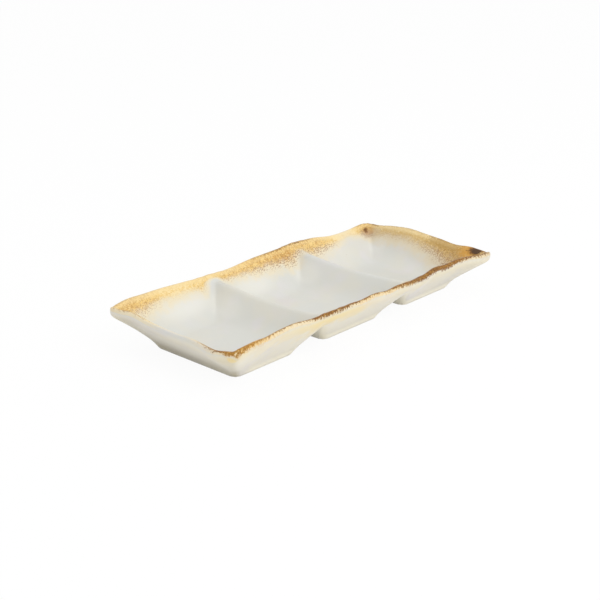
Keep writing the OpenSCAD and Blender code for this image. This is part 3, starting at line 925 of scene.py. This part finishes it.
    def crust_line(self, tint):
        """Brown crust on top of the lip with gold beside it."""
        n, c = self.n, self.colours
        warm_corner = n.near(self.place, *WARM_CORNER)
        middle = n.step(warm_corner, 0, 0.6, 0.36, 0.6)
        off_line = n.math("ABSOLUTE", n.math("SUBTRACT", self.turn, middle))
        stretched = n.vector("MULTIPLY", self.place, (1, 0.5, 0.5))["Vector"]
        teeth = n.noise(stretched, feature=1.3, roughness=0.6, offset=17)
        ragged = n.plus(self.swing(teeth, 1.2), self.swing(self.fine, 0.8))
        rough = n.plus(off_line, ragged)
        halo = n.times(n.step(rough, 0.3, 0.9, 1, 0), self.gilt, 0.9, clamp=True)
        beside = n.mix(n.step(self.grain, 0.4, 0.65), c.gold, c.orange)
        tint = n.mix(halo, tint, beside)
        width = n.times(self.crust, 0.64)
        line = n.step(n.math("SUBTRACT", width, rough), -0.1, 0.2)
        self.line = n.times(line, n.step(self.crust, 0, 0.5), clamp=True)
        shade = n.mix(n.step(self.fine, 0.45, 0.62, 0, 0.7), c.brown, c.orange)
        shade = n.mix(n.step(warm_corner, 0, 0.4, 0, 0.4), shade, c.orange)
        shade = n.mix(n.step(teeth, 0.57, 0.67, 0, 0.35), shade, c.gold)
        return n.mix(self.line, tint, shade)

    def dark_spots(self, tint):
        """Burnt and tan patches with ragged edges."""
        n = self.n
        inside = n.step(self.turn, 0.3, 0.8, 1, 0)
        for spot, radii, name, strength in DARK_SPOTS:
            close = n.near(self.place, spot, radii)
            swung = n.plus(close, self.swing(self.fine, 1.3), self.swing(self.grain, 1.0))
            body = n.step(close, 0, 0.15, 0, strength)
            dark = n.times(n.step(swung, 0.2, 0.7), body, inside)
            tint = n.mix(dark, tint, getattr(self.colours, name))
        return tint

    def tint(self):
        tint = self.runs(self.washed(self.white()))
        tint = self.crust_line(self.amber(tint))
        self.coloured = self.n.math("MAXIMUM", self.cover, self.line)
        return self.dark_spots(tint)

    def roughness(self):
        """Rougher where the amber and the crust lie."""
        n = self.n
        return n.plus(n.times(self.coloured, 0.12), n.times(self.fine, 0.12), 0.24)

    def relief(self):
        """Soft hollows all over, and grain where the amber and the crust lie."""
        n = self.n
        return n.plus(n.times(self.patch, 0.3), n.times(self.grain, self.coloured, 0.35))


def glaze_material(name, colours):
    """White glaze that turns into a speckled amber one towards the rim."""
    n = Nodes(bpy.data.materials.new(name))
    pattern = GlazePattern(n, colours)
    tint = pattern.tint()
    bump = n.node("Bump", Height=pattern.relief(), Strength=0.5, Distance=0.4 * MM)
    return n.finish(n.node(
        "BsdfPrincipled", Base_Color=tint, Roughness=pattern.roughness(), Normal=bump.outputs[0],
        IOR=1.5, Specular_IOR_Level=0.3, Coat_Weight=0.1, Coat_Roughness=0.15))


def clay_material(name, colours):
    """Bare fired stoneware with iron specks."""
    n = Nodes(bpy.data.materials.new(name))
    place = n.millimetres()
    fine = n.noise(place, feature=0.5, detail=3, roughness=0.7)
    speck = n.noise(place, feature=1.1, detail=1, offset=2)
    cloud = n.noise(place, feature=14, offset=4)
    tint = n.mix(n.step(cloud, 0.35, 0.7, 0, 0.4), colours.clay, colours.clay_dark)
    tint = n.mix(n.step(speck, 0.66, 0.72), tint, colours.clay_dark)
    rough = n.plus(n.times(fine, 0.2), 0.7)
    bump = n.node("Bump", Height=fine, Strength=0.6, Distance=0.2 * MM)
    return n.finish(n.node(
        "BsdfPrincipled", Base_Color=tint, Roughness=rough, Normal=bump.outputs[0]))


def floor_material(name, tone):
    """White floor that shows plain white to the camera and keeps the dish's shadow."""
    n = Nodes(bpy.data.materials.new(name))
    path = n.node("LightPath").outputs
    seen = n.math("MAXIMUM", path["Is Camera Ray"], path["Is Glossy Ray"])
    seen = n.math("MAXIMUM", seen, path["Is Transmission Ray"])
    paint = n.node("BsdfDiffuse", Color=tone).outputs[0]
    glow = n.node("Emission", Color=WHITE, Strength=1.0).outputs[0]
    return n.finish(n.filled("MixShader", None, n.times(seen, FLOOR_GLOW_SHARE), paint, glow))


# Layers of the dish for the sizes they were last worked out for
_coats = {}


def coats_of(context):
    """The dish's layers, worked out once for all pieces."""
    sizes = context.scene.dish_sizes
    key = tuple(getattr(sizes, name) for name in sizes.__annotations__)
    if key not in _coats:
        _coats.clear()
        _coats[key] = Coats(sizes)
    return _coats[key]


def seat(piece, material, node):
    """Give a piece its material, and put it in place of its node."""
    piece.data.materials.append(material)
    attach(piece, "root")
    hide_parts(node)


class DISH_OT_clay_body(bpy.types.Operator):
    """Build the pressed stoneware sheet with its wells, dividers and foot rings"""
    bl_idname = "dish.clay_body"
    bl_label = "Clay body"

    def execute(self, context):
        coats = coats_of(context)
        every = np.ones(tuple(v - 1 for v in coats.edge.shape), bool)
        parts = (("clay", True, every, True), ("clay", False, every, True))
        piece = build_piece("stoneware_body", coats, parts)
        material = clay_material("bare_stoneware", context.scene.dish_colours)
        seat(piece, material, "clay_body")
        return {"FINISHED"}


class DISH_OT_white_glaze(bpy.types.Operator):
    """Build the white coat over all but the rim's inside and the bare foot rings"""
    bl_idname = "dish.white_glaze"
    bl_label = "White glaze"

    def execute(self, context):
        coats = coats_of(context)
        top, under = ~amber_cells(coats), ~bare_cells(coats)
        parts = (
            ("glaze", True, top, True), ("clay", True, top, False),
            ("glaze", False, under, True), ("clay", False, under, False),
        )
        walls = ((True, border(top)), (False, border(under)))
        piece = build_piece("white_glaze_coat", coats, parts, walls)
        material = glaze_material("white_reactive_glaze", context.scene.dish_colours)
        seat(piece, material, "white_glaze")
        return {"FINISHED"}


class DISH_OT_rim_glaze(bpy.types.Operator):
    """Build the amber coat over the lip and down inside the rim"""
    bl_idname = "dish.rim_glaze"
    bl_label = "Rim glaze"

    def execute(self, context):
        coats = coats_of(context)
        top = amber_cells(coats)
        parts = (("glaze", True, top, True), ("clay", True, top, False))
        piece = build_piece("amber_rim_coat", coats, parts, ((True, border(top)),))
        material = glaze_material("amber_reactive_glaze", context.scene.dish_colours)
        seat(piece, material, "rim_glaze")
        return {"FINISHED"}


class DISH_OT_stage(bpy.types.Operator):
    """Set up the floor, the lamps and the camera"""
    bl_idname = "dish.stage"
    bl_label = "Stage"

    def execute(self, context):
        stage = context.scene.dish_stage
        self.floor(context, stage)
        self.surroundings(context, stage)
        self.lamps(context, stage)
        self.camera(context, stage)
        context.scene.view_settings.view_transform = "Standard"
        return {"FINISHED"}

    def floor(self, context, stage):
        half = FLOOR_WIDTH / 2
        corners = [(-half, -half, 0), (half, -half, 0), (half, half, 0), (-half, half, 0)]
        mesh = bpy.data.meshes.new("studio_floor")
        mesh.from_pydata(corners, [], [(0, 1, 2, 3)])
        mesh.materials.append(floor_material("studio_floor", stage.floor_colour))
        floor = bpy.data.objects.new("studio_floor", mesh)
        context.scene.collection.objects.link(floor)

    def surroundings(self, context, stage):
        """Even light from all round, which the camera sees as white."""
        n = Nodes(bpy.data.worlds.new("studio_light"))
        light = n.node("Background", Color=WHITE, Strength=stage.world_light).outputs[0]
        shown = n.node("Background", Color=WHITE).outputs[0]
        seen = n.node("LightPath").outputs["Is Camera Ray"]
        blend = n.filled("MixShader", None, seen, light, shown)
        context.scene.world = n.finish(blend, "OutputWorld")

    def lamps(self, context, stage):
        for name, place, width, share in LAMPS:
            data = bpy.data.lights.new(name, "AREA")
            data.energy = stage.key_light * share
            data.size = width
            lamp = bpy.data.objects.new(name, data)
            lamp.location = place
            lamp.rotation_euler = (-Vector(place)).to_track_quat("-Z", "Y").to_euler()
            context.scene.collection.objects.link(lamp)

    def camera(self, context, stage):
        level, down = math.cos(stage.pitch), math.sin(stage.pitch)
        forward = Vector((-math.sin(stage.yaw) * level, math.cos(stage.yaw) * level, -down))
        right = Vector((math.cos(stage.yaw), math.sin(stage.yaw), 0))
        up = right.cross(forward)
        target = Vector((0, 0, stage.target_height))
        target += stage.side_step * right + stage.rise_step * up
        data = bpy.data.cameras.new("photo_camera")
        data.lens = stage.focal / MM
        data.sensor_width = SENSOR_WIDTH
        data.sensor_fit = "HORIZONTAL"
        camera = bpy.data.objects.new("photo_camera", data)
        turn = Matrix((right, up, -forward)).transposed().to_4x4()
        camera.matrix_world = Matrix.Translation(target - stage.distance * forward) @ turn
        context.scene.collection.objects.link(camera)
        context.scene.camera = camera


class DISH_PT_panel(bpy.types.Panel):
    bl_label = "Sauce dish"
    bl_idname = "DISH_PT_panel"
    bl_space_type = "VIEW_3D"
    bl_region_type = "UI"
    bl_category = "Sauce dish"

    def draw(self, context):
        for operator in OPERATORS:
            self.layout.operator(operator.bl_idname)
        for group in ("dish_sizes", "dish_colours", "dish_stage"):
            settings = getattr(context.scene, group)
            column = self.layout.column(align=True)
            for name in settings.__annotations__:
                column.prop(settings, name)


OPERATORS = (DISH_OT_stage, DISH_OT_clay_body, DISH_OT_white_glaze, DISH_OT_rim_glaze)
GROUPS = {"dish_sizes": DishSizes, "dish_colours": DishColours, "dish_stage": DishStage}
CLASSES = (*GROUPS.values(), *OPERATORS, DISH_PT_panel)


def register():
    for cls in CLASSES:
        bpy.utils.register_class(cls)
    for name, cls in GROUPS.items():
        setattr(bpy.types.Scene, name, bpy.props.PointerProperty(type=cls))


def unregister():
    for name in GROUPS:
        delattr(bpy.types.Scene, name)
    for cls in reversed(CLASSES):
        bpy.utils.unregister_class(cls)


def main():
    register()
    bpy.ops.dish.stage()
    bpy.ops.dish.clay_body()
    bpy.ops.dish.white_glaze()
    bpy.ops.dish.rim_glaze()


if __name__ == "__main__":
    main()
